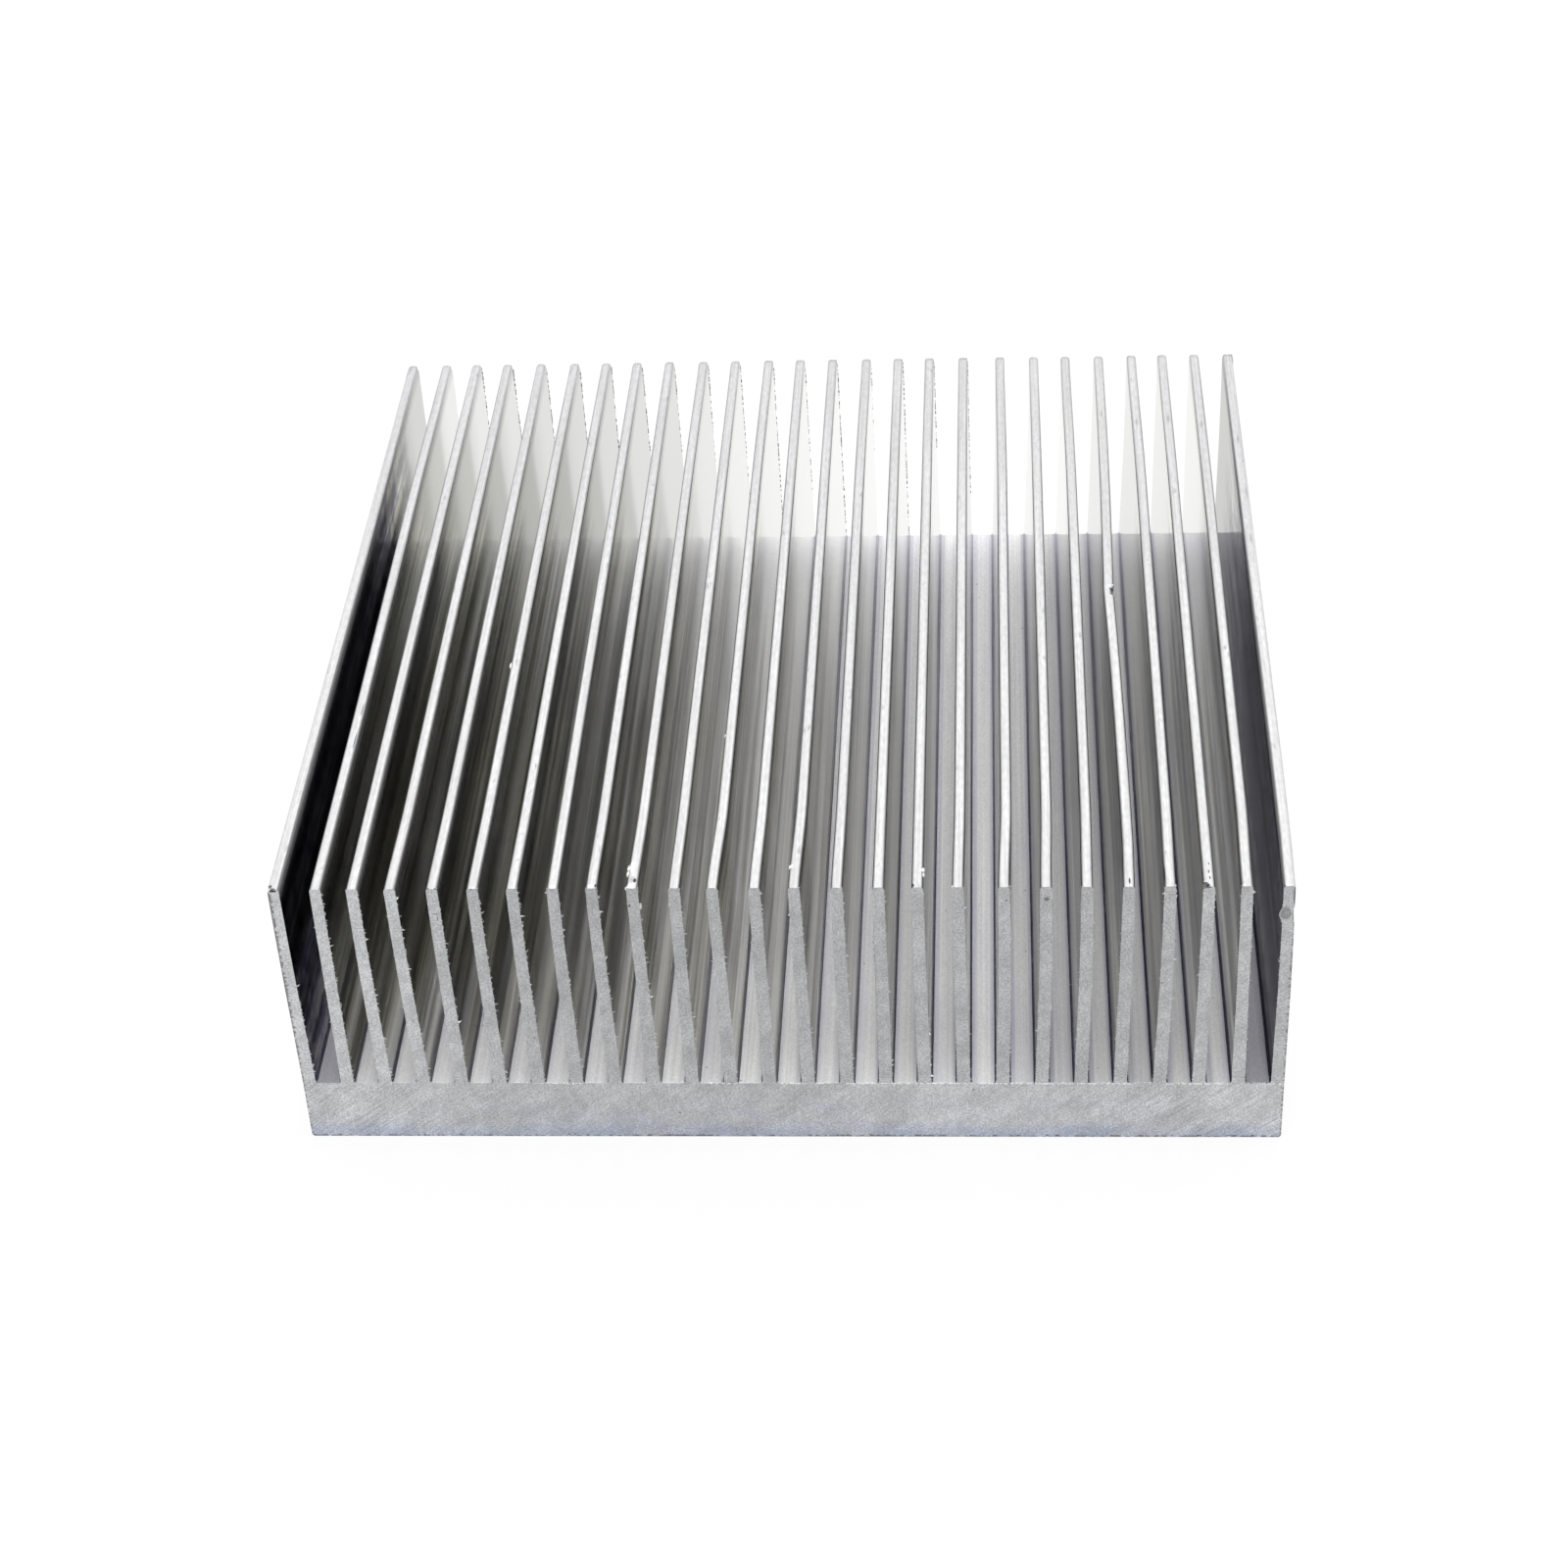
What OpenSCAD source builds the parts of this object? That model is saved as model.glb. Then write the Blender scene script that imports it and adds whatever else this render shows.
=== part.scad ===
// Extruded aluminium heat sink: a thick flat base plate with a row of thin plate fins.
// It is one sawn length of one extruded profile, so it is one solid.
// X runs across the fins, Y along them, Z up. The origin is the centre of the underside.

/* [Base plate] */
// Width of the base plate, across the fins
base_w = 150; // [120:1:300]
// Length of the sawn piece, along the fins
piece_l = 150; // [30:1:600]
// Thickness of the base plate
base_t = 11.2; // [5:0.1:25]
// Radius of the two long edges of the underside
edge_r = 0.5; // [0.2:0.1:2]

/* [Fins] */
// Number of fins, the two outer ones flush with the base plate
fin_count = 26; // [8:1:30]
// Height of a fin above the base plate
fin_h = 38.8; // [10:0.1:60]
// Thickness of a fin at its root
fin_root_t = 2; // [1.2:0.05:3]
// Thickness of a fin at its tip
fin_tip_t = 1.7; // [0.8:0.05:2.5]
// Radius between a fin and the floor of its channel
root_r = 0.5; // [0.1:0.05:1]
// Radius of the two long edges of a fin's tip
tip_r = 0.4; // [0.1:0.05:0.75]
// Farthest that a fin's tip has sprung sideways
tip_lean = 0.8; // [0:0.1:1.2]

/* [Nicks] */
// Width of the nicks that handling has left in the edges of some fins
nick_w = 0.9; // [0.4:0.1:1.6]
// Length of a nick along its fin
nick_l = 2; // [0.5:0.5:10]

/* [Hidden] */

// How far each fin has sprung sideways, as a share of tip_lean, from the -X side to the +X side.
// The fins left of the middle lean one way and most of those right of it the other way.
LEANS = [-0.5, -0.1, -0.7, -0.8, -0.5, -0.4, -0.5, -0.6, -0.6, -0.4, -0.3, -0.3, -0.3,
         -0.3, -0.2, -0.2, -0.5, -0.3, 0.9, 1, 0.9, 0.7, 1, 0.4, 0.2, 0.5];

// Nicks: the fin, counted from 1 at the -X side, the place as a share of its length from the
// front end, and the side of its tip that is hit, -1 or 1.
NICKS = [[1, 0, -1], [22, 0.5, 1], [24, 0, -1]];

// Straight segments in a quarter of a circle
ARC_STEPS = 3;
// Places up a fin's side, as shares of its height, between which the sprung side is straight
SIDE_STEPS = [0.25, 0.5, 0.75];

total_h = base_t + fin_h;
half_w = base_w / 2;
fin_pitch = (base_w - fin_root_t) / (fin_count - 1);
channel_w = fin_pitch - fin_root_t;
fillet_r = min(root_r, 0.45 * channel_w);
last_fin = fin_count - 1;
tip_round_r = min(tip_r, 0.45 * fin_tip_t);
// Where the round root ends and where the round tip starts, as shares of the fin's height
root_end = fillet_r / fin_h;
tip_start = 1 - tip_round_r / fin_h;

// Points of a round corner about [x, z], from one angle to another
function corner(x, z, r, from, to) =
    [for (k = [0:ARC_STEPS])
        let (a = from + (to - from) * k / ARC_STEPS)
        [x + r * cos(a), z + r * sin(a)]];

// Thickness of a fin at the share t of its height
function fin_t(t) = fin_root_t + (fin_tip_t - fin_root_t) * t;

// Sideways spring of fin i at its tip; fins past the end of the list stand straight
function lean(i) = (i < len(LEANS) ? LEANS[i] : 0) * tip_lean;

// Middle of fin i at the share t of its height
function fin_mid(i, t) = -half_w + fin_root_t / 2 + i * fin_pitch + lean(i) * sin(90 * t);

// One side of fin i: side is -1 for the -X face and 1 for the +X face
function face_x(i, side, t) = fin_mid(i, t) + side * fin_t(t) / 2;
function face_point(i, side, t) = [face_x(i, side, t), base_t + fin_h * t];

// Outline of fin i's +X side up to its tip, from the channel floor or, on the last fin, from the
// side of the base plate
function rise(i) = concat(
    i == last_fin ? [face_point(i, 1, 0)] :
    corner(face_x(i, 1, root_end) + fillet_r, base_t + fillet_r, fillet_r, -90, -180),
    [for (t = SIDE_STEPS) face_point(i, 1, t)]);

// Round tip of fin i, from its +X edge to its -X edge
function tip(i) = concat(
    corner(face_x(i, 1, tip_start) - tip_round_r, total_h - tip_round_r, tip_round_r, 0, 90),
    corner(face_x(i, -1, tip_start) + tip_round_r, total_h - tip_round_r, tip_round_r, 90, 180));

// Outline of fin i's -X side down from its tip, to the channel floor or, on the first fin, to the
// side of the base plate
function fall(i) = concat(
    [for (k = [len(SIDE_STEPS) - 1:-1:0]) face_point(i, -1, SIDE_STEPS[k])],
    i == 0 ? [face_point(i, -1, 0)] :
    corner(face_x(i, -1, root_end) - fillet_r, base_t + fillet_r, fillet_r, 0, -90));

// The whole profile: the underside, then every fin from the +X side to the -X side
function profile() = concat(
    corner(-half_w + edge_r, edge_r, edge_r, 180, 270),
    corner(half_w - edge_r, edge_r, edge_r, 270, 360),
    [for (i = [last_fin:-1:0])
        for (p = concat(rise(i), tip(i), fall(i))) p]);

// The profile drawn out along Y and sawn square at both ends
module extrusion() {
    rotate([90, 0, 0])
        linear_extrude(height = piece_l, center = true)
            polygon(profile());
}

// Cutter for one nick: a square bar laid along the edge of a fin's tip
module nick(i, along, side) {
    translate([face_x(i, side, 1), (along - 0.5) * piece_l, total_h])
        rotate([0, 45, 0])
            cube([nick_w, nick_l, nick_w], center = true);
}

module heat_sink() {
    color("silver")
        difference() {
            extrusion();
            for (n = NICKS)
                if (n[0] <= fin_count)
                    nick(n[0] - 1, n[1], n[2]);
        }
}

heat_sink();
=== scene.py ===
"""Extruded aluminium heat sink: drawn fins and channels, sawn ends, saw burrs and small dents."""

import math
import random

import bmesh
import bpy
from mathutils import Matrix, Vector


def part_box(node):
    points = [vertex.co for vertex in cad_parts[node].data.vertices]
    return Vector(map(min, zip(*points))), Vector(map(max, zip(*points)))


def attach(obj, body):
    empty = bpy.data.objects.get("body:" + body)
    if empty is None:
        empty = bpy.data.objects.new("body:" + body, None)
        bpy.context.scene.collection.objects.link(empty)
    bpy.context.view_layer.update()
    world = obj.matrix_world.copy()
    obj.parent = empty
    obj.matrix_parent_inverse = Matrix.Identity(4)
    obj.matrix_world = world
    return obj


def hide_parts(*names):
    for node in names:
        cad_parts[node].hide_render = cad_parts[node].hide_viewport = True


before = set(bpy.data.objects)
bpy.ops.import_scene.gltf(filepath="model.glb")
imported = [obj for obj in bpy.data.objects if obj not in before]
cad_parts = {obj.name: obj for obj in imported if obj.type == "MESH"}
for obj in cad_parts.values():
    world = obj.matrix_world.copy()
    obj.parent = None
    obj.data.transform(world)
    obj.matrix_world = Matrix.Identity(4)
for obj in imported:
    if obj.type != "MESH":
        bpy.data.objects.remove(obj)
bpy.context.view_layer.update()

MM = 0.001

# ---- Sizes, from the frame and the profile ----
LOW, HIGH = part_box("heat_sink")
FRONT = LOW.y
BACK = HIGH.y
TOP = HIGH.z
LENGTH = BACK - FRONT
WIDTH = HIGH.x - LOW.x
FIN_COUNT = 26
BASE_T = 11.2 * MM
FIN_H = TOP - BASE_T
FIN_ROOT_T = 2.0 * MM
ROOT_R = 0.5 * MM
TIP_R = 0.4 * MM
PITCH = (WIDTH - FIN_ROOT_T) / (FIN_COUNT - 1)
FIRST_FIN_X = LOW.x + FIN_ROOT_T / 2

# ---- How the fins stand: how far a tip curls sideways at each end, in mm, by fin ----
FRONT_CURL = {4: -0.25, 5: -0.15, 6: -0.15, 7: -0.15, 9: -0.2, 10: -0.3, 11: -0.15, 12: -0.5,
              13: -0.25, 14: -0.4, 15: -0.15, 18: -0.2, 19: -0.4, 20: -0.3, 21: -0.2, 23: -0.15,
              25: -0.3}
BACK_CURL = {3: 0.1, 6: 0.2, 7: 0.15, 10: 0.13, 12: 0.17, 15: 0.15, 19: -0.2, 20: -0.1,
             21: -0.25, 23: -0.25, 24: -0.15, 25: -0.15}
FRONT_CURL_LENGTH = 20 * MM
BACK_CURL_LENGTH = 40 * MM
CURL_RISE = 1.5
# Fins that bend along their whole length: pairs of a distance behind the front face and a
# shift, in mm
BENDS = {
    2: ((45, 0), (84, -0.1), (112, -0.2), (130, -0.08), (150, 0)),
    22: (
        (0, 0.06), (10, 0.24), (22, 0.2), (40, 0.05), (52, -0.1), (64, -0.28), (72, -0.45),
        (76, -0.53), (80, -0.43), (88, -0.33), (105, -0.12), (122, 0), (150, 0),
    ),
    26: ((0, -0.4), (12, -0.2), (30, -0.13), (64, -0.15), (90, -0.22), (150, -0.33)),
}
# How far the back ends of the tips are worn round, by fin (the rest: WORN_END), and how long
# and how deep, in mm
WORN_ENDS = {
    1: 1, 2: 1, 3: 0.9, 4: 1, 5: 0.8, 6: 0.9, 7: 1, 8: 0.9, 9: 0.6, 10: 0.8, 11: 0.6, 20: 0.7,
    21: 0.8, 22: 0.7,
}
WORN_END = 0.4
WORN_LENGTH = 1.1
WORN_SIDE = 0.5
WORN_TOP = 0.35
# A knock on the front edge of one fin: fin, height, half height, reach along the fin and
# push, in mm
KNOCK = (26, 44.7, 1.8, 1.6, -0.5)

# ---- Metal colours ----
SAWN_COLOUR = (0.594, 0.6, 0.61)
SAWN_BLUE = (0.42, 0.47, 0.6)
SAWN_ROUGH = 0.45
# How pale the sawn ends are: places across the piece in mm, and the share of their colour
SAWN_SHADE = (
    (-75, 0.98), (-62, 0.954), (-50, 0.86), (-10, 0.833), (10, 0.861), (25, 0.954), (38, 0.907),
    (50, 0.898), (62, 0.926), (75, 0.98),
)
# The same for the fronts of the fins, against the base below them
SAWN_FIN_SHADE = (
    (-75, 0.99), (-62, 0.99), (-50, 0.97), (-38, 0.887), (0, 0.887), (15, 0.85), (27, 0.81),
    (40, 0.85), (60, 0.868), (75, 0.83),
)
WALL_COLOUR = (0.55, 0.55, 0.55)
# Painted light: the lighter colour of the walls at the back
WALL_BACK_LIT_COLOUR = (0.74, 0.74, 0.73)
# Painted shade: the darker colour of the walls on the left half
WALL_LEFT_SHADE_COLOUR = (0.28, 0.28, 0.28)
WALL_END_COLOUR = (0.24, 0.24, 0.29)
WALL_ROUGH = 0.12
WALL_BACK_ROUGH = 0.07
WALL_BANDS = 0.6
WALL_LINES = 0.74
WALL_STREAKS = 0.78
WALL_OLIVE = (1, 0.985, 0.88)
WALL_BLUISH = (0.99, 0.985, 0.98)
# Painted highlight along a wall's top edge, which is also rougher there: places across the piece in
# mm, and the share
WALL_TOP_HIGHLIGHT = (
    (-75, 0.9), (-69.5, 0.9), (-68.5, 0.7), (-40, 0.5), (-20, 0.3), (5, 0.2), (34, 0.1), (66, 0.1),
    (69, 0.9), (75, 0.9),
)
# Painted shade on how much a wall mirrors at a glancing view: places across the piece in mm, and
# the share
WALL_MIRROR_SHADE = (
    (-75, 0.78), (-69.5, 0.84), (-68.5, 1), (-60, 0.95), (-45, 0.82), (-25, 0.84), (-15, 0.96),
    (5, 1), (15, 1), (34, 1), (44, 1), (50, 0.82), (60, 0.84), (65, 1), (68, 0.95), (70, 0.62),
    (75, 0.58),
)
# Painted shade: the walls mirror less in front
WALL_FRONT_MIRROR_SHADE = 0.86
WALL_GRAIN = 0.95
FLOOR_COLOUR = (0.93, 0.93, 0.93)
FLOOR_END_COLOUR = (0.5, 0.49, 0.54)
FLOOR_ROUGH = 0.4
FLOOR_METAL = 0.05
FLOOR_BACK_METAL = 0.4
# How pale a channel floor is: places across the piece in mm, and the share of its colour
FLOOR_SHADE = (
    (-75, 0.9), (-67, 0.9), (-50, 1), (34, 1), (39, 0.78), (52, 0.7), (63, 0.82), (67, 0.85),
    (75, 0.8),
)
FLOOR_FRONT_SHADE = 0.88
FLOOR_BORDER_COLOUR = (0.68, 0.67, 0.77)
# Painted shade in the roots of the fins: a dark bluish line
ROOT_SHADE_COLOUR = (0.12, 0.12, 0.17)
ROOT_SHADE_SHEEN = (0.46, 0.46, 0.56)
ROOT_BACK_COLOUR = (0.5, 0.5, 0.52)
TIP_COLOUR = (0.76, 0.76, 0.765)
TIP_BACK_COLOUR = (0.68, 0.68, 0.69)
TIP_ROUGH = 0.3
# Painted shade on the rounded edges of the tips, in front and at the back
TIP_EDGE_SHADE = 0.4
TIP_BACK_EDGE_SHADE = 0.75
TIP_DIRT = (0.3, 0.3, 0.31)
TORN_COLOUR = (0.25, 0.25, 0.25)
# Colour of the painted highlight along the walls' top edges
WALL_TOP_HIGHLIGHT_COLOUR = (0.55, 0.55, 0.55)
WALL_CLEAN_TINT = (1, 1, 0.99)
WALL_STAIN = (0.62, 0.62, 0.74)
PIT_COLOUR = (0.1, 0.1, 0.11)
PIT_SHEEN = (0.4, 0.4, 0.42)
DUST_COLOUR = (0.85, 0.85, 0.87)
FLOOR_LAVENDER = (0.84, 0.83, 0.89)
FLOOR_PIT_COLOUR = (0.3, 0.3, 0.32)
ROOT_PALE_COLOUR = (0.3, 0.3, 0.38)
ROOT_GRAIN_COLOUR = (0.85, 0.85, 0.9)
ROOT_BACK_SHEEN = (0.9, 0.9, 0.9)
# Colour of the painted highlight on the roots' upturned faces at the left
ROOT_HIGHLIGHT_COLOUR = (0.97, 0.97, 1)
GREY_MARK_COLOUR = (0.35, 0.35, 0.36)
# Colour of the painted glints on the tips
TIP_GLINT_COLOUR = (0.93, 0.93, 1)
DARK_MARK_COLOUR = (0.07, 0.07, 0.1)
SAWN_CLOUD = (0.56, 0.58, 0.68)
SAWN_STROKE = (0.85, 0.85, 0.85)
SAWN_PIT = (0.24, 0.24, 0.26)
SAWN_SPECK = (0.36, 0.36, 0.37)
SAWN_SCRATCH = (0.25, 0.25, 0.25)
# The dark edges of the sawn ends: painted shade along the lower edge
SAWN_EDGE = (0.13, 0.11, 0.12)
UNDERSIDE_COLOUR = (0.72, 0.72, 0.73)
BURR_COLOUR = (0.6, 0.6, 0.61)
DARK_BURR_COLOUR = (0.12, 0.12, 0.13)
BRIGHT_BURR_COLOUR = (1, 1, 1)
PLAIN = (1, 1, 1)

# ---- Single marks ----
# Fin, distance behind the front face, height, place off the fin's middle, and half sizes, in mm
DARK_MARKS = (
    (1, 0, 49.9, -0.1, 0.7, 0.4, 0.3), (5, 0, 50, -0.6, 0.35, 0.3, 0.3),
    (5, 0, 50, 0.6, 0.3, 0.3, 0.3), (8, 0.3, 50, -0.8, 0.3, 0.35, 0.5),
    (9, 0.3, 50, -0.85, 0.3, 0.4, 0.5), (9, 0.7, 50, 0.6, 0.2, 0.4, 0.5),
    (10, 1.8, 50, 0.3, 0.3, 0.6, 0.5), (17, 0.5, 50, -0.65, 0.3, 0.5, 0.5),
    (22, 1.3, 50, 0.1, 0.17, 0.9, 0.5), (23, 3, 50, -0.75, 0.2, 2.6, 0.5),
    (24, 0.3, 50, -0.2, 0.45, 0.5, 0.5), (24, 2, 50, 0.2, 0.12, 0.5, 0.5),
    (24, 3.4, 50, 0.1, 0.12, 0.5, 0.5), (24, 5.2, 50, 0.2, 0.1, 0.4, 0.5),
    (2, 36, 50, 0.45, 0.09, 3, 0.5), (2, 44, 50, 0.4, 0.08, 2, 0.5),
    (22, 75.5, 50, 0.6, 0.25, 0.22, 0.8),
)
GREY_MARKS = (
    (26, 90, 50, 0.2, 0.35, 2, 0.5), (26, 121, 50, 0.1, 0.3, 2, 0.5),
    (26, 104, 50, 0.4, 0.3, 3, 0.5), (25, 59, 50, 0, 0.4, 0.9, 0.5),
    (23, 127, 50, 0, 0.4, 1.6, 0.5), (24, 128, 50, 0.1, 0.4, 2, 0.5),
    (25, 126, 50, 0, 0.4, 1.8, 0.5), (22, 130, 50, 0, 0.3, 1.6, 0.5), (10, 2, 50, 0, 0.7, 1.1, 0.5),
)
# Painted highlights: bright glints on the tips, most of them at the front ends
TIP_GLINTS = (
    (8, 0.4, 50, 0, 0.5, 0.55, 0.4), (9, 0.5, 50, -0.1, 0.6, 0.6, 0.4),
    (10, 0.5, 50, -0.4, 0.7, 0.7, 0.4), (10, 5, 50, -0.4, 0.4, 1.6, 0.4),
    (7, 0.3, 50, 0.2, 0.3, 0.3, 0.3), (25, 0.4, 50, -0.4, 0.35, 0.3, 0.3),
    (26, 0.3, 50, -0.3, 0.4, 0.3, 0.3), (17, 4, 50, 0.5, 0.3, 0.5, 0.4),
    (14, 5, 50, -0.5, 0.3, 0.6, 0.4), (22, 76.6, 50, 0.2, 0.4, 0.4, 0.4),
    (6, 0.3, 50, 0.1, 0.3, 0.3, 0.3),
)
SAWN_MARKS = (
    (1, 0, 49.7, -0.1, 0.7, 0.4, 0.3, 0.1), (20, 0, 47.7, 0.1, 0.5, 0.4, 0.4, 0.5),
    (19, 0, 47.5, 0.35, 0.25, 0.4, 0.3, 0.6), (5, 0, 45.2, 0, 0.65, 0.4, 0.14, 0.5),
    (5, 0, 44.3, 0.3, 0.12, 0.4, 0.6, 0.5), (10, 0, 46.7, -0.6, 0.25, 0.4, 0.3, 0.3),
    (26, 0, 48.2, 0.75, 0.16, 0.4, 2, 0.35), (26, 0, 44.9, -0.4, 0.95, 0.6, 1.5, 0.6),
    (24, 0, 49.9, -0.1, 0.6, 0.4, 0.25, 0.3), (2, 0, 30, 0.3, 0.2, 0.4, 0.3, 0.6),
    (4, 0, 24, 0.1, 0.3, 0.4, 0.4, 0.7), (7, 0, 20.5, 0.4, 0.2, 0.4, 0.3, 0.6),
)

# Lumps of torn metal, given in the same way
LUMPS = (
    (10, 0.45, 49.6, -0.65, 0.5, 0.35, 0.38), (10, 3.6, 49.6, -0.8, 0.35, 0.6, 0.35),
    (10, 4.9, 49.6, -0.7, 0.4, 0.9, 0.35), (10, 0.4, 46.2, 0.95, 0.22, 0.3, 0.6),
    (17, 4.2, 49.6, 0.7, 0.42, 0.7, 0.35), (17, 3.2, 49.6, 0.85, 0.25, 0.4, 0.3),
    (14, 5, 49.65, -0.75, 0.28, 0.6, 0.3), (6, 56, 49.65, -0.8, 0.28, 0.8, 0.3),
    (12, 37, 49.65, -0.75, 0.2, 0.6, 0.3), (22, 76.9, 49.65, 0.6, 0.35, 0.35, 0.32),
    (8, 0.35, 49.65, -0.55, 0.35, 0.3, 0.3), (18, 0.4, 49.65, -0.65, 0.3, 0.35, 0.3),
    (9, 0.4, 49.65, -0.6, 0.3, 0.35, 0.3), (25, 0.35, 49.7, -0.5, 0.25, 0.3, 0.25),
    (26, 0.35, 49.7, -0.55, 0.25, 0.3, 0.25),
)

# ---- Light ----
FLOOR_SIZE = 6
FLOOR_GLOW = 1
FLOOR_GLOW_SHARE = 0.85
DOME_FRONT = 0.5
DOME_BACK = 1.1
DOME_FRONT_Y = 0.1
DOME_BACK_Y = 0.6
STRIP = 12
STRIP_X = 0.01
STRIP_LOW_Z = 0.5
STRIP_HIGH_Z = 0.7
STRIP_EDGE_X = 0.11
STRIP_FULL_X = 0.035
STRIP_EDGE_Y = 0.55
STRIP_FULL_Y = 0.35

# ---- Camera: place in mm, turns in degrees, lens and sensor in mm ----
CAMERA_PLACE = (31.8, -439.9, 354.8)
CAMERA_YAW = 4.603
CAMERA_PITCH = 36.586
CAMERA_ROLL = -3.151
CAMERA_LENS = 75.06
CAMERA_SENSOR = 36
CAMERA_SHIFT_Y = -0.05


# ---- Node helpers ----
def new_material(name):
    """An empty node material with a Principled shader, its node tree and that shader."""
    material = bpy.data.materials.new(name)
    material.use_nodes = True
    tree = material.node_tree
    return material, tree, tree.nodes["Principled BSDF"]


def feed(tree, socket, value):
    """Sets a socket to a fixed number or colour, or links a node's output to it."""
    if isinstance(value, (int, float)):
        socket.default_value = value
    elif isinstance(value, tuple):
        socket.default_value = (*value, 1) if len(socket.default_value) == 4 else value
    else:
        tree.links.new(value, socket)


def ramp(tree, value, low, high, at_low=0, at_high=1, kind="SMOOTHSTEP"):
    """Runs from at_low where the input is low to at_high where it is high."""
    node = tree.nodes.new("ShaderNodeMapRange")
    node.interpolation_type = kind
    levels = {"From Min": low, "From Max": high, "To Min": at_low, "To Max": at_high}
    for name, number in levels.items():
        node.inputs[name].default_value = number
    tree.links.new(value, node.inputs["Value"])
    return node.outputs["Result"]


def maths(tree, operation, first, second=0):
    """One Math node's result."""
    node = tree.nodes.new("ShaderNodeMath")
    node.operation = operation
    feed(tree, node.inputs[0], first)
    feed(tree, node.inputs[1], second)
    return node.outputs[0]


def blend(tree, share, first, second, mode="MIX"):
    """A colour between two, each a fixed colour or a node's output."""
    node = tree.nodes.new("ShaderNodeMix")
    node.data_type = "RGBA"
    node.blend_type = mode
    feed(tree, node.inputs[0], share)
    feed(tree, node.inputs[6], first)
    feed(tree, node.inputs[7], second)
    return node.outputs[2]


def place_on_piece(tree):
    """The place on the piece as a vector, and its X, Y and Z in metres."""
    coordinates = tree.nodes.new("ShaderNodeTexCoord")
    split = tree.nodes.new("ShaderNodeSeparateXYZ")
    tree.links.new(coordinates.outputs["Object"], split.inputs[0])
    return coordinates.outputs["Object"], split.outputs


def mottle(tree, place, size, detail=2, turn=(0, 0, 0), shift=(0, 0, 0)):
    """Noise from 0 to 1 whose blots have the given size in mm along X, Y and Z."""
    mapping = tree.nodes.new("ShaderNodeMapping")
    mapping.vector_type = "TEXTURE"
    mapping.inputs["Location"].default_value = shift
    mapping.inputs["Rotation"].default_value = turn
    mapping.inputs["Scale"].default_value = [length * MM for length in size]
    noise = tree.nodes.new("ShaderNodeTexNoise")
    noise.inputs["Scale"].default_value = 1
    noise.inputs["Detail"].default_value = detail
    tree.links.new(place, mapping.inputs["Vector"])
    tree.links.new(mapping.outputs["Vector"], noise.inputs["Vector"])
    return noise.outputs["Fac"]


def specks(tree, place, spacing, radius, share):
    """1 inside small round spots of the given radius in mm, in a share of cells of that spacing."""
    mapping = tree.nodes.new("ShaderNodeMapping")
    mapping.inputs["Scale"].default_value = [1 / (spacing * MM)] * 3
    cells = tree.nodes.new("ShaderNodeTexVoronoi")
    cells.inputs["Scale"].default_value = 1
    chosen = tree.nodes.new("ShaderNodeSeparateColor")
    tree.links.new(place, mapping.inputs["Vector"])
    tree.links.new(mapping.outputs["Vector"], cells.inputs["Vector"])
    tree.links.new(cells.outputs["Color"], chosen.inputs[0])
    near = ramp(
        tree, cells.outputs["Distance"], 0.6 * radius / spacing, 1.3 * radius / spacing, 1, 0
    )
    return maths(tree, "MULTIPLY", near, maths(tree, "LESS_THAN", chosen.outputs[0], share))


def spots(tree, place, places, edge=0.5):
    """1 inside soft blots, each placed on a fin as the single marks are."""
    total = None
    for fin, behind, z, shift, *size in places:
        mapping = tree.nodes.new("ShaderNodeMapping")
        mapping.vector_type = "TEXTURE"
        mapping.inputs["Location"].default_value = (
            fin_middle(fin, behind, z) + shift * MM, FRONT + behind * MM, z * MM,
        )
        mapping.inputs["Scale"].default_value = [length * MM for length in size]
        reach = tree.nodes.new("ShaderNodeVectorMath")
        reach.operation = "LENGTH"
        tree.links.new(place, mapping.inputs["Vector"])
        tree.links.new(mapping.outputs["Vector"], reach.inputs[0])
        blot = ramp(tree, reach.outputs["Value"], 1 - edge, 1, 1, 0)
        total = blot if total is None else maths(tree, "MAXIMUM", total, blot)
    return total


def relief(tree, shader, height, depth, normal=None, strength=1):
    """Bump on the shader from a height of 0 to 1 that stands for a depth in mm."""
    bump = tree.nodes.new("ShaderNodeBump")
    feed(tree, bump.inputs["Strength"], strength)
    bump.inputs["Distance"].default_value = depth * MM
    tree.links.new(height, bump.inputs["Height"])
    if normal is not None:
        tree.links.new(normal, bump.inputs["Normal"])
    tree.links.new(bump.outputs["Normal"], shader.inputs["Normal"])
    return bump.outputs["Normal"]


def metal(name, colour, roughness):
    """A bare metal of one colour and roughness, to build a finish on."""
    material, tree, shader = new_material(name)
    shader.inputs["Metallic"].default_value = 1.0
    shader.inputs["Base Color"].default_value = (*colour, 1)
    shader.inputs["Roughness"].default_value = roughness
    return material, tree, shader


def drawn_grain(tree, shader, spread):
    """Widens the gloss across the lines that the die draws along Y, and not along them."""
    surface = tree.nodes.new("ShaderNodeNewGeometry")
    crosswise = tree.nodes.new("ShaderNodeVectorMath")
    crosswise.operation = "CROSS_PRODUCT"
    crosswise.inputs[1].default_value = (0, 1, 0)
    tree.links.new(surface.outputs["Normal"], crosswise.inputs[0])
    tree.links.new(crosswise.outputs[0], shader.inputs["Tangent"])
    shader.inputs["Anisotropic"].default_value = spread


# ---- Where the fins stand ----
def smooth_step(share):
    """Eases a share from 0 to 1."""
    share = min(max(share, 0), 1)
    return share * share * (3 - 2 * share)


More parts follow.
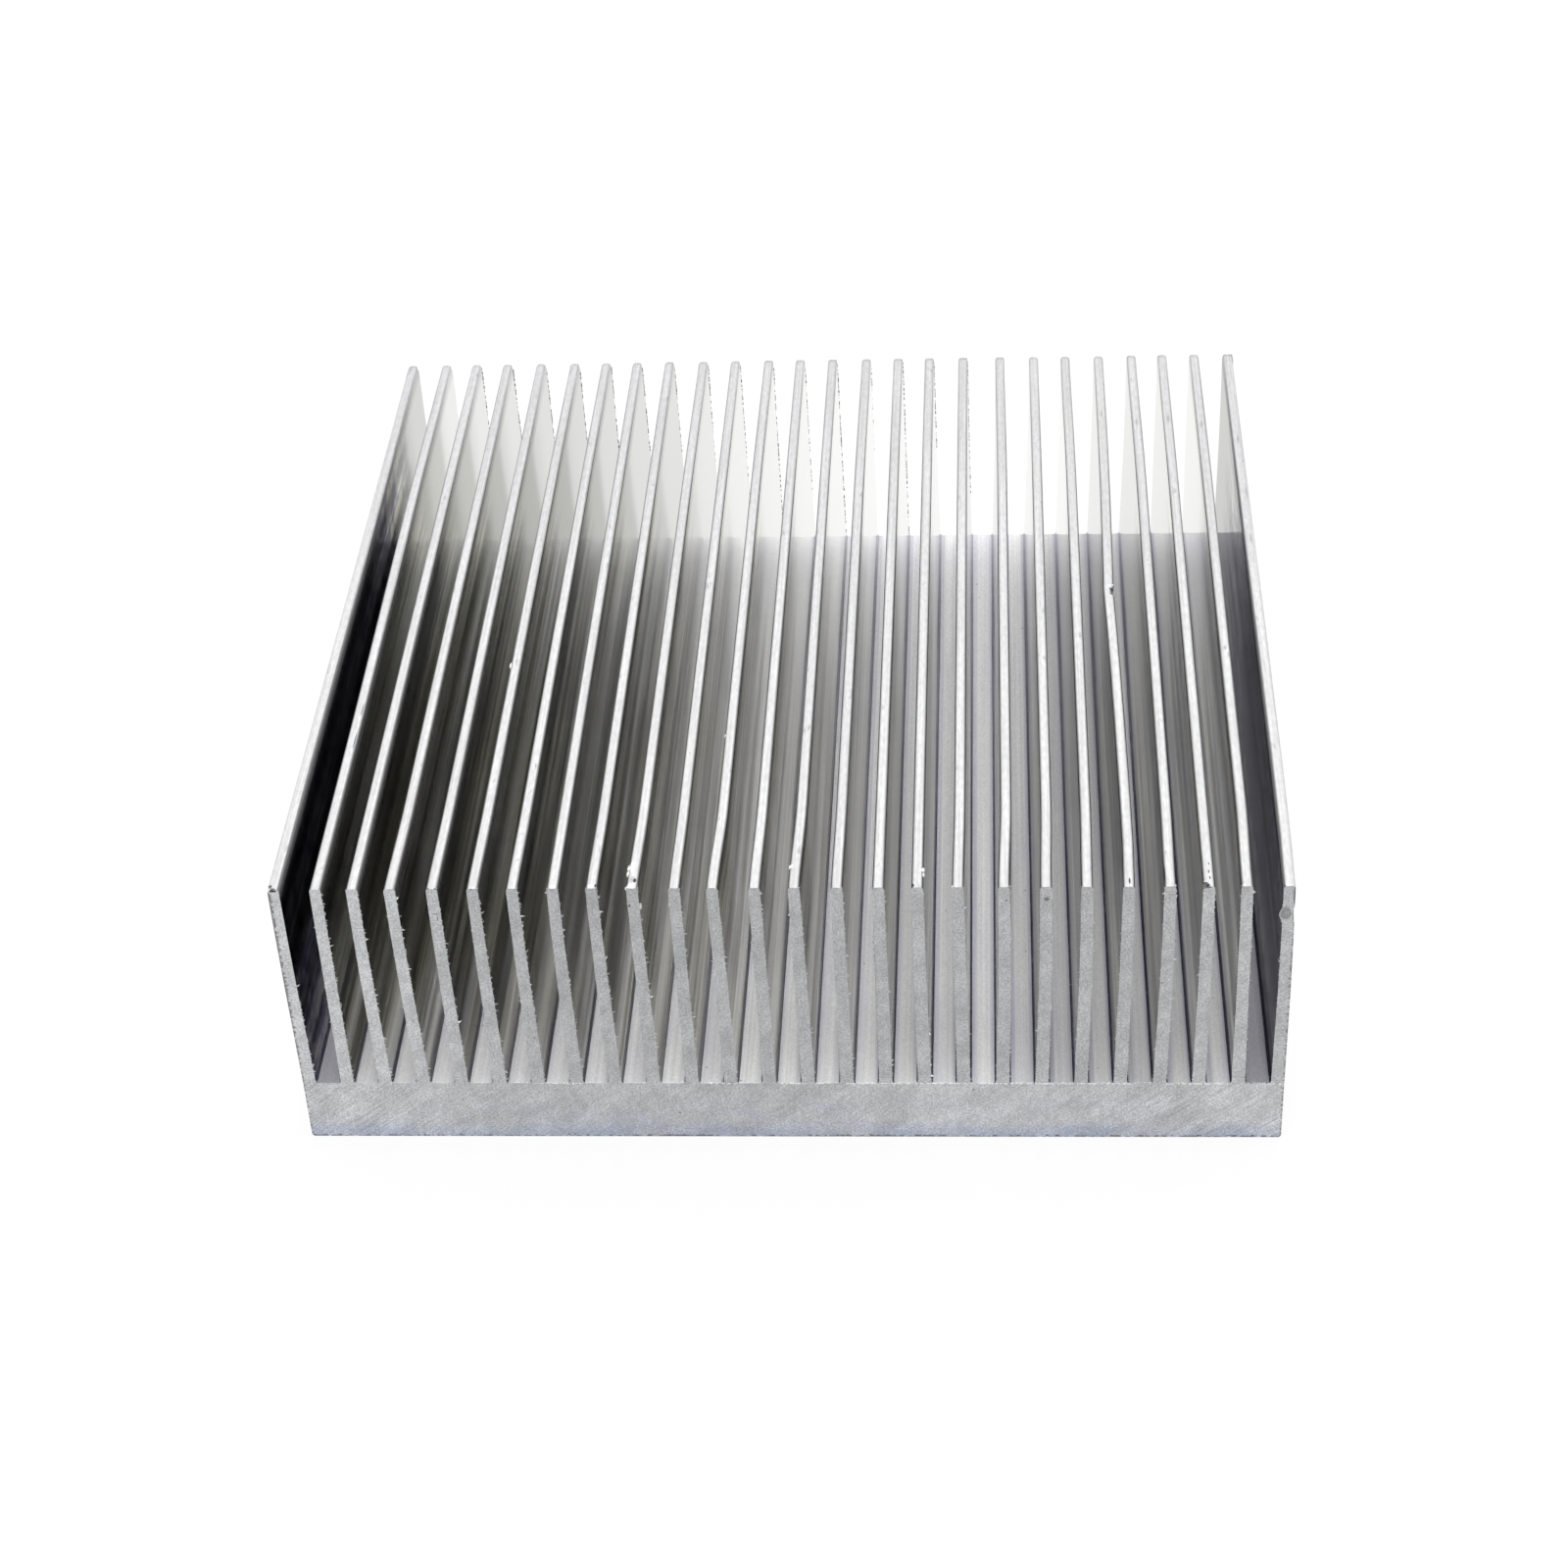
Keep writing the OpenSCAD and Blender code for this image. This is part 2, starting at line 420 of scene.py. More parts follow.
def sideways(fin, behind):
    """How far the tip of a fin stands off the straight extrusion, at a distance in metres."""
    shift = FRONT_CURL.get(fin, 0) * smooth_step(1 - behind / FRONT_CURL_LENGTH)
    shift += BACK_CURL.get(fin, 0) * smooth_step(1 - (LENGTH - behind) / BACK_CURL_LENGTH)
    bend = BENDS.get(fin, ())
    for (start, at_start), (end, at_end) in zip(bend, bend[1:]):
        if start <= behind / MM < end:
            shift += at_start + (at_end - at_start) * (behind / MM - start) / (end - start)
    return shift * MM


def read_leans():
    """The middle of each fin at each height, from the front end of the straight extrusion."""
    middles = {}
    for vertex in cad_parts["heat_sink"].data.vertices:
        x, y, z = vertex.co
        if abs(y - FRONT) < 1e-6 and z > BASE_T:
            fin = round((x - FIRST_FIN_X) / PITCH) + 1
            middles.setdefault(fin, {}).setdefault(round(z / MM, 1), []).append(x)
    leans = {}
    for fin, rows in middles.items():
        whole = {z: xs for z, xs in rows.items() if max(xs) - min(xs) > 0.8 * MM}
        leans[fin] = sorted((z, (min(xs) + max(xs)) / 2) for z, xs in whole.items())
    return leans


LEANS = read_leans()


def fin_middle(fin, behind, z):
    """X of the middle of a fin at a distance behind the front face and a height, both in mm."""
    rows = LEANS[fin]
    x = rows[-1][1] if z >= rows[-1][0] else rows[0][1]
    for (low, at_low), (high, at_high) in zip(rows, rows[1:]):
        if low <= z < high:
            x = at_low + (at_high - at_low) * (z - low) / (high - low)
    return x + sideways(fin, behind * MM) * max(0, (z * MM - BASE_T) / FIN_H) ** CURL_RISE


# ---- Finishes ----
def end_channel(tree, x):
    """1 in the first and the last channel, which are darker."""
    return ramp(tree, maths(tree, "ABSOLUTE", x), HIGH.x - 7.2 * MM, HIGH.x - 6.2 * MM)


def grey(tree, level):
    """A grey colour of a level."""
    node = tree.nodes.new("ShaderNodeCombineColor")
    for socket in node.inputs[:3]:
        tree.links.new(level, socket)
    return node.outputs[0]


def tone(tree, value, dark, light):
    """A grey that multiplies a colour: dark where the noise is low, light where it is high."""
    return grey(tree, ramp(tree, value, 0.3, 0.7, dark, light))


def times(tree, colour, *others):
    """Colours multiplied together."""
    for other in others:
        colour = blend(tree, 1, colour, other, "MULTIPLY")
    return colour


def across(tree, x, levels):
    """A level that changes across the piece: pairs of a place in mm and the level there."""
    span = levels[-1][0] - levels[0][0]
    curve = tree.nodes.new("ShaderNodeFloatCurve")
    points = curve.mapping.curves[0].points
    while len(points) < len(levels):
        points.new(0.5, 0.5)
    for point, (place, level) in zip(points, levels):
        point.location = ((place - levels[0][0]) / span, level)
        point.handle_type = "VECTOR"
    curve.mapping.update()
    tree.links.new(
        ramp(tree, x, levels[0][0] * MM, levels[-1][0] * MM, kind="LINEAR"), curve.inputs["Value"]
    )
    return curve.outputs[0]


def off_middle(tree, x):
    """The distance in metres from the middle of a channel."""
    share = maths(
        tree, "FRACT", maths(tree, "DIVIDE", maths(tree, "SUBTRACT", x, FIRST_FIN_X), PITCH)
    )
    return maths(
        tree, "MULTIPLY", maths(tree, "ABSOLUTE", maths(tree, "SUBTRACT", share, 0.5)), PITCH
    )


def root_painted_shade(tree, x, y):
    """How strong the painted shade in the roots is: least at the left and at the back."""
    return maths(
        tree,
        "MULTIPLY",
        ramp(tree, x, -20 * MM, 42 * MM, 0.45, 1),
        ramp(tree, y, FRONT + 40 * MM, BACK - 40 * MM, 1, 0.12),
    )


def wall_clean_and_lit(tree, y, ends):
    """1 where a fin's side is cleaner and lighter as painted light, at the back, and 0 in front."""
    inner = ramp(tree, y, BACK - 70 * MM, BACK - 35 * MM)
    outer = ramp(tree, y, BACK - 50 * MM, BACK - 12 * MM)
    return ramp(tree, blend(tree, ends, grey(tree, inner), grey(tree, outer)), 0, 1, kind="LINEAR")


def wall_marks(tree, place, lines, streaks, ends, clean_and_lit):
    """The die lines, hues and stains on the fins' sides, as a colour to multiply by."""
    bands = mottle(tree, place, (5, 220, 5), 3)
    stains = mottle(tree, place, (8, 18, 6), 4)
    hues = mottle(tree, place, (2.5, 90, 2.5), 2, shift=(0.01, 0.02, 0.03))
    marks = times(
        tree,
        tone(tree, bands, WALL_BANDS, 2 - WALL_BANDS),
        tone(tree, lines, WALL_LINES, 2 - WALL_LINES),
        tone(tree, streaks, WALL_STREAKS, 2 - WALL_STREAKS),
        tone(tree, stains, 0.9, 1.08),
        blend(tree, ramp(tree, hues, 0.35, 0.65), WALL_OLIVE, WALL_BLUISH),
    )
    marks = blend(tree, clean_and_lit, marks, WALL_CLEAN_TINT)
    blotch = mottle(tree, place, (3, 3, 2.4), 5)
    stained = maths(tree, "MULTIPLY", ends, ramp(tree, blotch, 0.42, 0.6))
    stained = maths(tree, "MULTIPLY", stained, maths(tree, "SUBTRACT", 1, clean_and_lit))
    return times(tree, marks, blend(tree, stained, PLAIN, WALL_STAIN))


def wall_sheen_shade(tree, x, y):
    """How much a fin's side mirrors at a glancing view, as painted shade: set across the piece and
    lower in front and on the left.
    """
    across_sheen_shade = maths(tree, "MULTIPLY", across(tree, x, WALL_MIRROR_SHADE),
                  ramp(tree, y, FRONT + 50 * MM, FRONT + 95 * MM, WALL_FRONT_MIRROR_SHADE, 1))
    # Painted shade: the left walls mirror less along their middle
    left_dim_shade = maths(tree, "MULTIPLY", ramp(tree, y, FRONT + 50 * MM, FRONT + 70 * MM),
                ramp(tree, y, FRONT + 126 * MM, FRONT + 142 * MM, 1, 0))
    left_dim_shade = maths(tree, "MULTIPLY", left_dim_shade, ramp(tree, x, -58 * MM, -34 * MM, 0.14, 0))
    return maths(tree, "MULTIPLY", across_sheen_shade, maths(tree, "SUBTRACT", 1, left_dim_shade))


def wall_foot(tree, place, colour, sheen):
    """The foot of a fin's side: a ragged dark line of painted shade over the root and a lavender
    strip above it.
    """
    x, y, z = place_on_piece(tree)[1]
    ragged = mottle(tree, place, (0.3, 0.8, 0.3), 3)
    height = maths(tree, "ADD", z, ramp(tree, ragged, 0.3, 0.7, -0.15 * MM, 0.15 * MM))
    # Painted shade: a ragged dark line along the side just above the root
    low = maths(tree, "MULTIPLY", root_painted_shade(tree, x, y),
                ramp(tree, height, BASE_T + 0.5 * MM, BASE_T + 0.7 * MM, 0.85, 0))
    lavender = maths(tree, "MULTIPLY", ramp(tree, x, 0, 42 * MM, 0.1, 0.5),
                     ramp(tree, height, BASE_T + 1.2 * MM, BASE_T + 1.7 * MM, 1, 0))
    colour = blend(tree, lavender, colour, times(tree, colour, (1, 1, 1.25)))
    sheen = blend(tree, lavender, sheen, times(tree, sheen, (0.92, 0.92, 1.04)))
    return blend(tree, low, colour, ROOT_SHADE_COLOUR), blend(tree, low, sheen, ROOT_SHADE_SHEEN)


def fin_side():
    """Fin sides: near mirrors with die lines and stains, with painted shade on the left, cleaner at
    the back and lighter there as painted light.
    """
    material, tree, shader = metal("fin_side", WALL_COLOUR, WALL_ROUGH)
    drawn_grain(tree, shader, WALL_GRAIN)
    place, (x, y, z) = place_on_piece(tree)
    ends = end_channel(tree, x)
    clean_and_lit = wall_clean_and_lit(tree, y, ends)
    lines = mottle(tree, place, (1.4, 160, 1.4), 2, shift=(0.02, 0, 0.01))
    streaks = mottle(tree, place, (0.4, 60, 0.4), 3)
    marks = wall_marks(tree, place, lines, streaks, ends, clean_and_lit)
    # Painted shade: walls on the left half are darker
    left_shade = ramp(tree, x, -34 * MM, -10 * MM, 1, 0)
    colour = blend(tree, left_shade, WALL_COLOUR, WALL_LEFT_SHADE_COLOUR)
    colour = blend(tree, ends, colour, WALL_END_COLOUR)
    # Painted light: the sides take a lighter colour at the back
    colour = times(tree, blend(tree, clean_and_lit, colour, WALL_BACK_LIT_COLOUR), marks)
    sheen = times(tree, grey(tree, wall_sheen_shade(tree, x, y)), marks)
    # Painted highlight along the top of the side, strongest on the left; the same share also
    # roughens the top
    painted_top_highlight = maths(
        tree,
        "MULTIPLY",
        across(tree, x, WALL_TOP_HIGHLIGHT),
        ramp(tree, z, TOP - 4 * MM, TOP, kind="SMOOTHERSTEP"),
    )
    colour = blend(tree, painted_top_highlight, colour, WALL_TOP_HIGHLIGHT_COLOUR)
    pits = specks(tree, place, 2.5, 0.13, 0.25)
    colour = blend(tree, pits, colour, PIT_COLOUR)
    sheen = blend(tree, pits, sheen, PIT_SHEEN)
    dust = maths(
        tree, "MULTIPLY", specks(tree, place, 1.3, 0.09, 0.3), maths(tree, "SUBTRACT", 1, clean_and_lit)
    )
    dust = maths(
        tree, "MULTIPLY", dust, ramp(tree, maths(tree, "ABSOLUTE", x), 40 * MM, 72 * MM, 0.12, 0.8)
    )
    colour = blend(tree, dust, colour, DUST_COLOUR)
    colour, sheen = wall_foot(tree, place, colour, sheen)
    rough = ramp(tree, y, FRONT + 60 * MM, BACK - 35 * MM, WALL_ROUGH, WALL_BACK_ROUGH)
    feed(tree, shader.inputs["Metallic"], maths(tree, "SUBTRACT", 1, dust))
    feed(tree, shader.inputs["Base Color"], colour)
    feed(tree, shader.inputs["Specular Tint"], sheen)
    feed(
        tree,
        shader.inputs["Roughness"],
        maths(tree, "ADD", rough, maths(tree, "MULTIPLY", painted_top_highlight, 0.3)),
    )
    depth = ramp(tree, clean_and_lit, 0, 1, 1, 0.1)
    normal = relief(tree, shader, streaks, 0.004, strength=depth)
    relief(tree, shader, lines, 0.008, normal, strength=depth)
    return material


def channel_floor():
    """Channel floors: dull, with faint die lines and small pits, lavender next to the roots."""
    material, tree, shader = metal("channel_floor", FLOOR_COLOUR, FLOOR_ROUGH)
    place, (x, y, z) = place_on_piece(tree)
    drawn_grain(tree, shader, 0.5)
    lines = mottle(tree, place, (0.5, 140, 5), 2)
    fine_lines = mottle(tree, place, (0.16, 45, 5), 2)
    grain = mottle(tree, place, (0.28, 0.5, 0.3), 2)
    lavender = mottle(tree, place, (3, 30, 5), 2)
    border = ramp(
        tree,
        maths(tree, "ADD", off_middle(tree, x), ramp(tree, grain, 0.3, 0.7, -0.15 * MM, 0.15 * MM)),
        0.95 * MM,
        1.25 * MM,
    )
    colour = blend(tree, ramp(tree, lavender, 0.45, 0.65, 0, 0.5), FLOOR_COLOUR, FLOOR_LAVENDER)
    border = maths(tree, "MULTIPLY", border, ramp(tree, x, -20 * MM, 42 * MM, 0.25, 0.8))
    colour = blend(tree, border, colour, FLOOR_BORDER_COLOUR)
    colour = blend(tree, end_channel(tree, x), colour, FLOOR_END_COLOUR)
    shade = maths(tree, "MULTIPLY", across(tree, x, FLOOR_SHADE),
                  ramp(tree, y, FRONT + 10 * MM, FRONT + 25 * MM, FLOOR_FRONT_SHADE, 1))
    colour = times(
        tree,
        colour,
        grey(tree, shade),
        tone(tree, lines, 0.92, 1.03),
        tone(tree, fine_lines, 0.94, 1.04),
        tone(tree, grain, 0.92, 1.05),
    )
    colour = blend(tree, specks(tree, place, 2.6, 0.16, 0.3), colour, FLOOR_PIT_COLOUR)
    feed(tree, shader.inputs["Base Color"], colour)
    feed(
        tree,
        shader.inputs["Metallic"],
        ramp(tree, y, BACK - 60 * MM, BACK, FLOOR_METAL, FLOOR_BACK_METAL),
    )
    relief(tree, shader, lines, 0.006)
    return material


def channel_root():
    """The small radius where a fin leaves the base: painted shade as a dark bluish line with a few
    bright grains, and a painted highlight on its upturned part at the left.
    """
    material, tree, shader = metal("channel_root", ROOT_SHADE_COLOUR, 0.4)
    place, (x, y, z) = place_on_piece(tree)
    root_shade_share = root_painted_shade(tree, x, y)
    broken = mottle(tree, place, (0.5, 1.5, 0.5), 4)
    colour = blend(tree, ramp(tree, broken, 0.58, 0.66, 0, 0.6), ROOT_SHADE_COLOUR, ROOT_PALE_COLOUR)
    colour = blend(tree, specks(tree, place, 1.1, 0.12, 0.3), colour, ROOT_GRAIN_COLOUR)
    colour = blend(tree, root_shade_share, ROOT_BACK_COLOUR, colour)
    sheen = blend(tree, root_shade_share, ROOT_BACK_SHEEN, ROOT_SHADE_SHEEN)
    surface = tree.nodes.new("ShaderNodeNewGeometry")
    facing = tree.nodes.new("ShaderNodeSeparateXYZ")
    tree.links.new(surface.outputs["Normal"], facing.inputs[0])
    # Painted highlight: a thin bright line on the upturned part of the root at the left
    root_highlight = maths(
        tree,
        "MULTIPLY",
        ramp(tree, facing.outputs[2], 0.72, 0.88),
        ramp(tree, x, -30 * MM, -8 * MM, 0.9, 0),
    )
    feed(tree, shader.inputs["Base Color"], blend(tree, root_highlight, colour, ROOT_HIGHLIGHT_COLOUR))
    feed(tree, shader.inputs["Specular Tint"], blend(tree, root_highlight, sheen, PLAIN))
    return material


def fin_tip():
    """Fin tips: pale satin with painted shade on the rounded edges, rubbed and dirty places, and
    painted glints, most of them near the front ends.
    """
    material, tree, shader = metal("fin_tip", TIP_COLOUR, TIP_ROUGH)
    place, (x, y, z) = place_on_piece(tree)
    surface = tree.nodes.new("ShaderNodeNewGeometry")
    facing = tree.nodes.new("ShaderNodeSeparateXYZ")
    tree.links.new(surface.outputs["Normal"], facing.inputs[0])
    # Painted shade on the rounded edges of the tips: darker the more a face turns sideways, less on
    # the outer faces of the end fins
    outward = ramp(tree, maths(tree, "MULTIPLY", facing.outputs[0], maths(tree, "SIGN", x)), 0, 0.1)
    outward = maths(
        tree,
        "MULTIPLY",
        outward,
        maths(tree, "GREATER_THAN", maths(tree, "ABSOLUTE", x), HIGH.x - 3 * MM),
    )
    painted_edge_shade = maths(
        tree,
        "MULTIPLY",
        ramp(tree, maths(tree, "ABSOLUTE", facing.outputs[0]), 0.1, 0.65),
        ramp(tree, outward, 0, 1, 1, 0.15),
    )
    edge = ramp(tree, y, FRONT + 50 * MM, BACK - 40 * MM, 1 - TIP_EDGE_SHADE, 1 - TIP_BACK_EDGE_SHADE)
    lines = mottle(tree, place, (0.3, 25, 0.3), 3)
    blots = mottle(tree, place, (1.2, 4, 1.2), 4)
    rub = mottle(tree, place, (0.5, 1.6, 0.5), 3)
    torn = maths(
        tree,
        "MULTIPLY",
        ramp(tree, y, BACK - 1.6 * MM, BACK - 0.2 * MM),
        ramp(tree, rub, 0.4, 0.6, 0.2, 1),
    )
    colour = blend(
        tree, ramp(tree, y, FRONT + 50 * MM, BACK - 20 * MM), TIP_COLOUR, TIP_BACK_COLOUR
    )
    edges = grey(tree, maths(tree, "SUBTRACT", 1, maths(tree, "MULTIPLY", painted_edge_shade, edge)))
    colour = times(tree, colour, tone(tree, lines, 0.9, 1.07), tone(tree, rub, 0.93, 1.05), edges)
    colour = blend(tree, ramp(tree, blots, 0.64, 0.76, 0, 0.5), colour, TIP_DIRT)
    colour = blend(tree, maths(tree, "MULTIPLY", torn, 0.6), colour, TORN_COLOUR)
    colour = blend(
        tree,
        maths(tree, "MULTIPLY", spots(tree, place, GREY_MARKS, 0.8), 0.6),
        colour,
        GREY_MARK_COLOUR,
    )
    # Painted highlights: bright glints on the tips
    colour = blend(tree, spots(tree, place, TIP_GLINTS, 0.6), colour, TIP_GLINT_COLOUR)
    colour = blend(tree, spots(tree, place, DARK_MARKS), colour, DARK_MARK_COLOUR)
    feed(tree, shader.inputs["Base Color"], colour)
    feed(tree, shader.inputs["Roughness"], ramp(tree, blots, 0.3, 0.8, TIP_ROUGH, TIP_ROUGH + 0.15))
    relief(tree, shader, lines, 0.003)
    return material


def sawn_tint(tree, place, x, z):
    """The sawn ends' colour without marks: bluish low down, with soft clouds in the middle."""
    off_centre = maths(tree, "ABSOLUTE", x)
    patches = mottle(tree, place, (9, 9, 4), 3)
    low = ramp(tree, z, 0.5 * MM, 4 * MM, 0.8, 0)
    blue = maths(tree, "MULTIPLY", low, ramp(tree, patches, 0.35, 0.6, 0.35, 1))
    clouds = ramp(
        tree, mottle(tree, place, (8, 9, 3), 2, shift=(0.03, 0, 0.01)), 0.45, 0.65, 0, 0.5
    )
    reach = maths(
        tree,
        "MULTIPLY",
        ramp(tree, z, 5 * MM, 10 * MM, 1, 0),
        ramp(tree, off_centre, 35 * MM, 60 * MM, 1, 0.3),
    )
    return blend(
        tree,
        maths(tree, "MULTIPLY", clouds, reach),
        blend(tree, blue, SAWN_COLOUR, SAWN_BLUE),
        SAWN_CLOUD,
    )


def sawn_edges(tree, place, x, z, colour):
    """Darkens a sawn end's lower edge as painted shade, darkens its outer edges, and adds painted
    glints as bright dashes level with the floors.
    """
    off_centre = maths(tree, "ABSOLUTE", x)
    chipped = ramp(tree, mottle(tree, place, (0.9, 5, 0.5), 3), 0.3, 0.7, -0.3 * MM, 0.3 * MM)
    # Painted shade: a dark line along the lower edge, where the end meets the floor
    painted_contact_shade = ramp(tree, maths(tree, "ADD", z, chipped), 0.1 * MM, 0.3 * MM, 0.85, 0)
    beside = ramp(
        tree, maths(tree, "ADD", off_centre, chipped), HIGH.x - 0.5 * MM, HIGH.x - 0.25 * MM, 0, 0.7
    )
    colour = blend(tree, maths(tree, "MAXIMUM", painted_contact_shade, beside), colour, SAWN_EDGE)
    # Painted highlights: bright dashes on the sawn end, level with the channel floors
    off_line = maths(tree, "ABSOLUTE", maths(tree, "SUBTRACT", z, BASE_T - 0.07 * MM))
    sawn_glints = maths(tree, "MULTIPLY", ramp(tree, mottle(tree, place, (0.45, 5, 5), 1), 0.47, 0.53),
                   ramp(tree, off_line, 0.05 * MM, 0.1 * MM, 1, 0))
    where = maths(tree, "MULTIPLY", ramp(tree, x, -42 * MM, -34 * MM),
                  ramp(tree, mottle(tree, place, (9, 50, 50), 1), 0.42, 0.5))
    return blend(tree, maths(tree, "MULTIPLY", sawn_glints, where), colour, PLAIN)


def sawn_end():
    """Sawn ends: fine-grained grey with soft blots and slanting saw marks on the base."""
    material, tree, shader = metal("sawn_end", SAWN_COLOUR, SAWN_ROUGH)
    place, (x, y, z) = place_on_piece(tree)
    on_base = ramp(tree, z, BASE_T - 2 * MM, BASE_T + 3 * MM, 1, 0.35)
    at_ends = ramp(tree, maths(tree, "ABSOLUTE", x), 35 * MM, 62 * MM, 0.45, 1)
    cut = maths(tree, "MULTIPLY", on_base, at_ends)
    marks = mottle(tree, place, (9, 5, 0.3), 3, (0, math.radians(-38), 0))
    strokes = mottle(tree, place, (16, 5, 0.22), 1, (0, math.radians(-42), 0))
    blots = mottle(tree, place, (7, 5, 4), 3, (0, math.radians(-35), 0))
    grain = mottle(tree, place, (0.3, 0.3, 0.3), 3)
    coarse = mottle(tree, place, (0.9, 0.9, 1.2), 2)
    fins = grey(tree, maths(tree, "MULTIPLY", across(tree, x, SAWN_FIN_SHADE), 1.06))
    colour = times(
        tree,
        sawn_tint(tree, place, x, z),
        grey(tree, across(tree, x, SAWN_SHADE)),
        tone(tree, blots, 0.91, 1.08),
        blend(tree, ramp(tree, z, BASE_T - 1 * MM, BASE_T + 2 * MM), PLAIN, fins),
        blend(tree, cut, PLAIN, tone(tree, marks, 0.86, 1.12)),
        tone(tree, grain, 0.76, 1.2),
        tone(tree, coarse, 0.93, 1.06),
    )
    bright = maths(tree, "MULTIPLY", ramp(tree, strokes, 0.68, 0.74), cut)
    colour = blend(tree, maths(tree, "MULTIPLY", bright, 0.45), colour, SAWN_STROKE)
    colour = blend(tree, specks(tree, place, 3.5, 0.2, 0.25), colour, SAWN_PIT)
    colour = blend(tree, specks(tree, place, 1.4, 0.11, 0.3), colour, SAWN_SPECK)
    scratches = mottle(tree, place, (2, 5, 0.13), 1, (0, math.radians(-48), 0))
    scratched = maths(
        tree, "MULTIPLY", ramp(tree, scratches, 0.7, 0.76, 0, 0.5), ramp(tree, x, 10 * MM, 30 * MM)
    )
    colour = blend(tree, scratched, colour, SAWN_SCRATCH)
    for *mark, level in SAWN_MARKS:
        colour = times(
            tree, colour, grey(tree, ramp(tree, spots(tree, place, [mark], 0.4), 0, 1, 1, level))
        )
    feed(tree, shader.inputs["Base Color"], sawn_edges(tree, place, x, z, colour))
    normal = relief(tree, shader, grain, 0.012)
    relief(tree, shader, marks, 0.012, normal, strength=cut)
    return material


def underside():
    """The flat underside: satin with fine lines along the extrusion."""
    material, tree, shader = metal("underside", UNDERSIDE_COLOUR, 0.3)
    place, (x, y, z) = place_on_piece(tree)
    lines = mottle(tree, place, (0.5, 120, 5), 3)
    feed(
        tree,
        shader.inputs["Base Color"],
        times(tree, UNDERSIDE_COLOUR, tone(tree, lines, 0.88, 1.08)),
    )
    relief(tree, shader, lines, 0.008)
    return material


FINISHES = {
    "sawn_end": sawn_end,
    "underside": underside,
    "fin_side": fin_side,
    "channel_floor": channel_floor,
    "channel_root": channel_root,
    "fin_tip": fin_tip,
}
ZONES = list(FINISHES)


# ---- The piece ----
def clean_copy(node):
    """The CAD node's shape as one joined mesh with whole flat faces."""
    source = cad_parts[node]
    work = bmesh.new()
    work.from_mesh(source.data)
    bmesh.ops.remove_doubles(work, verts=work.verts, dist=1e-6)
    bmesh.ops.dissolve_limit(
        work, angle_limit=math.radians(0.3), verts=work.verts, edges=work.edges
    )
    return work


def stations():
    """Where the piece is cut across, in mm behind the front face, so that it can bend there."""
    length = LENGTH / MM
    near = [0.3, 0.8, 1.6, 3, 5, 7, 10, 12, 14, 16, 18, 20, 23, 26, 30]
    middle = [35, 40, 46, 52, 58, 64, 68, 72, 74, 75, 76, 77, 78, 80, 84, 88, 96, 105]
    far = [40, 32, 25, 18, 12, 7, 3, 1.1, 0.7, 0.35, 0.12]
    return near + middle + [length - back for back in far]


def cut_along(work, places):
    """Cuts the mesh across Y at each place, given in mm behind the front face."""
    for behind in places:
        bmesh.ops.bisect_plane(
            work,
            geom=work.verts[:] + work.edges[:] + work.faces[:],
            dist=1e-7,
            plane_co=(0, FRONT + behind * MM, 0),
            plane_no=(0, 1, 0),
        )


def bend_fins(work):
    """Curls the ends of the fins, bends a few along their length and knocks one in."""
    for vertex in work.verts:
        rise = (vertex.co.z - BASE_T) / FIN_H
        if rise > 0:
            fin = round((vertex.co.x - FIRST_FIN_X) / PITCH) + 1
            behind = vertex.co.y - FRONT
            vertex.co.x += sideways(fin, behind) * rise ** CURL_RISE
            wear = (behind - LENGTH) / MM / WORN_LENGTH + 1
            if wear > 0 and vertex.co.z > TOP - 1.3 * MM:
                wear = WORN_ENDS.get(fin, WORN_END) * (1 - math.sqrt(max(0, 1 - wear * wear)))
                middle = fin_middle(fin, behind / MM, vertex.co.z / MM)
                vertex.co.x += (middle - vertex.co.x) * wear * WORN_SIDE
                vertex.co.z -= wear * WORN_TOP * MM
            if fin == KNOCK[0]:
                depth = smooth_step(1 - abs(vertex.co.z / MM - KNOCK[1]) / KNOCK[2])
                vertex.co.x += KNOCK[4] * MM * depth * smooth_step(1 - behind / MM / KNOCK[3])


def in_root(z):
    """Whether a height is that of the floor or the round root of a fin."""
    return BASE_T - ROOT_R * 0.5 < z < BASE_T + ROOT_R


def in_tip(z):
    """Whether a height is that of the flat or the round edges of a fin's tip."""
    return z > TOP - TIP_R


def is_round(face):
    """Whether a face is a strip of a round root or a round tip."""
    z = face.calc_center_median().z
    if abs(face.normal.y) > 0.5 or abs(face.normal.x) > 0.99:
        return False
    return in_tip(z) or (in_root(z) and abs(face.normal.x) > 0.05)


def zone_of(face):
    """Which finish a face has."""
    normal, centre = face.normal, face.calc_center_median()
    if abs(normal.y) > 0.7:
        return ZONES.index("sawn_end")
    if normal.z < -0.7:
        return ZONES.index("underside")
    if in_root(centre.z) and normal.z > 0.4:
        return ZONES.index("channel_floor" if normal.z > 0.9 else "channel_root")
    if in_tip(centre.z) and normal.z > 0.4:
        return ZONES.index("fin_tip")
    return ZONES.index("fin_side")


